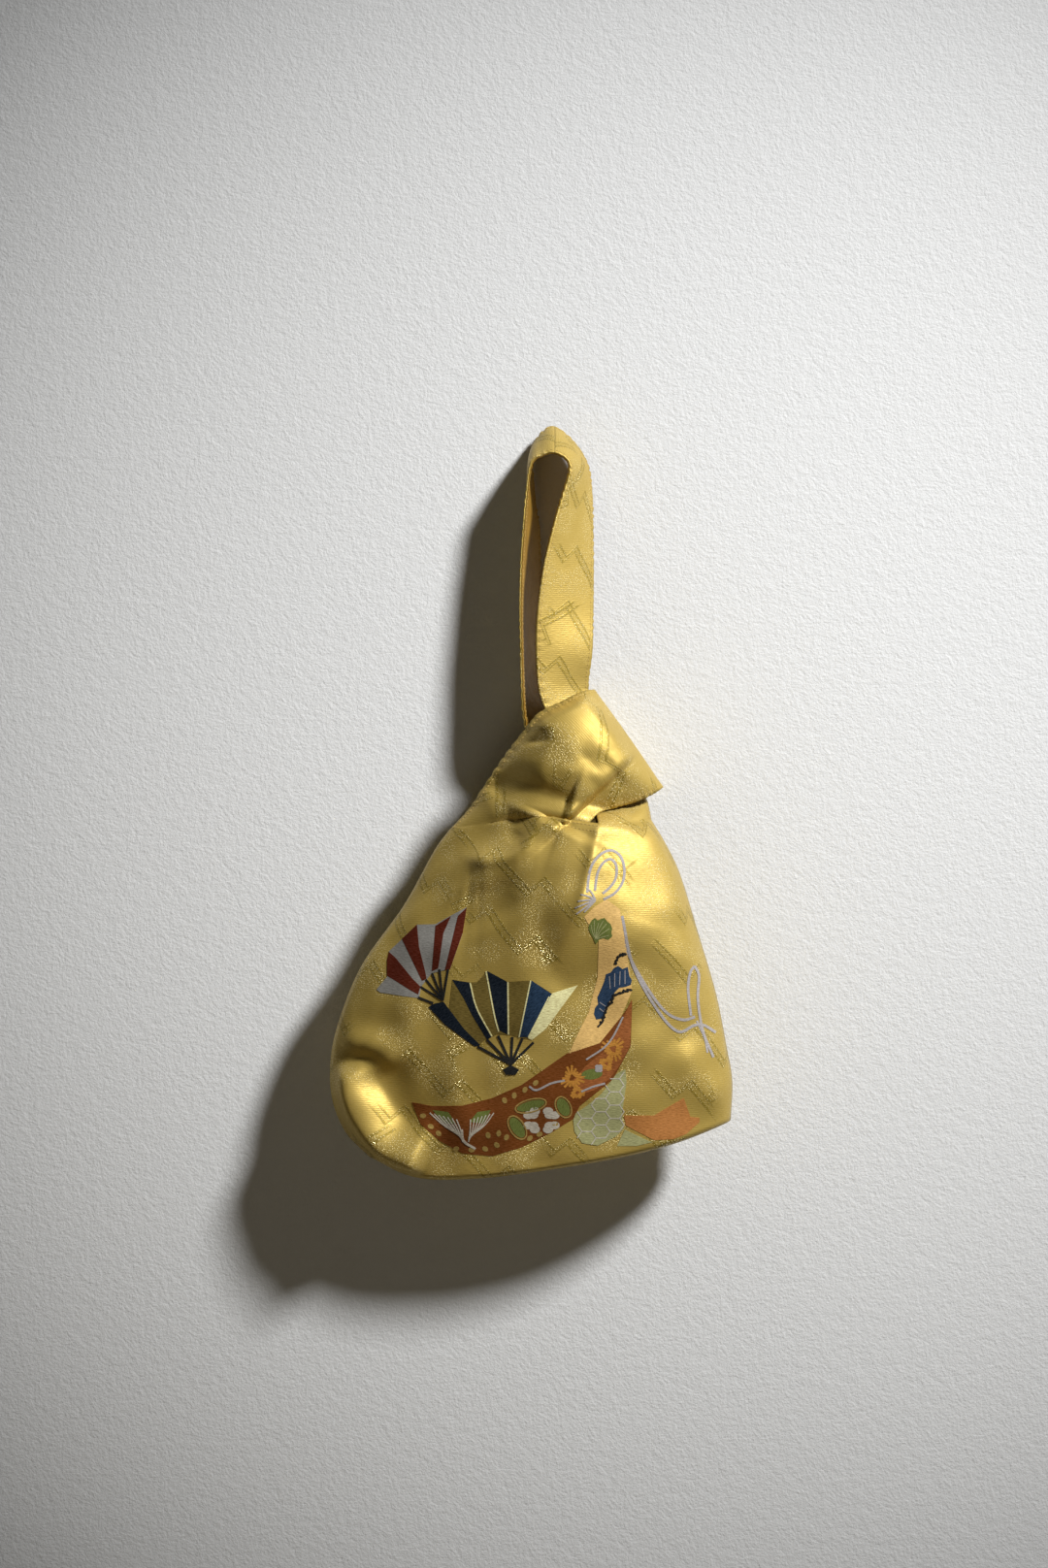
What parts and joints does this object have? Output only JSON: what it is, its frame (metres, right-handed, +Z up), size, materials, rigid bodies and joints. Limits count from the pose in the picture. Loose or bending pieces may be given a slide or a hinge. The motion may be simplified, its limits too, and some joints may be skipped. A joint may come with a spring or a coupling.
{
  "type": "top handle bag",
  "caption": "Knot style handbag of gold silk brocade, its long handle drawn through its short wide one, with fans and bundled ribbons woven on the front",
  "frame": {"origin": "hang point under the apex of the long handle", "axes": "+X to the right of the front, -Y out of the front, +Z up"},
  "size_m": [0.2714, 0.1067, 0.5108],
  "materials": {
    "gold_brocade": "satin weave with metal thread",
    "gold_lining_satin": "satin",
    "thread_red": "woven thread",
    "thread_vermilion": "woven thread",
    "thread_salmon": "woven thread",
    "thread_white": "woven thread",
    "thread_black": "woven thread",
    "thread_blue": "woven thread",
    "thread_bright_gold": "woven thread",
    "thread_green": "woven thread",
    "thread_grey_green": "woven thread",
    "thread_silver": "woven thread",
    "thread_orange": "woven thread"
  },
  "bodies": {
    "root": {"back_lining": "gold_lining_satin", "back_panel": "gold_brocade", "black_fan_ribs": "thread_black", "blue_fan_ribs": "thread_black", "blue_fan_stripe_1": "thread_blue", "blue_fan_stripe_2": "thread_blue", "blue_fan_stripe_3": "thread_blue", "blue_fan_stripe_4": "thread_blue", "blue_pine": "thread_blue", "crane_wing": "thread_green", "front_lining": "gold_lining_satin", "front_panel": "gold_brocade", "gold_fan_leaf": "thread_bright_gold", "green_pine": "thread_green", "hexagon_ribbon": "thread_grey_green", "orange_chrysanthemum_1": "thread_orange", "orange_chrysanthemum_2": "thread_orange", "red_fan_stripe_1": "thread_red", "red_fan_stripe_2": "thread_red", "red_fan_stripe_3": "thread_red", "red_fan_stripe_4": "thread_red", "red_ribbon": "thread_red", "salmon_ribbon": "thread_salmon", "silver_cord_loop": "thread_silver", "silver_cord_tail": "thread_silver", "vermilion_ribbon": "thread_vermilion", "white_fan_leaf": "thread_white", "white_flower": "thread_white"}
  },
  "joints": []
}
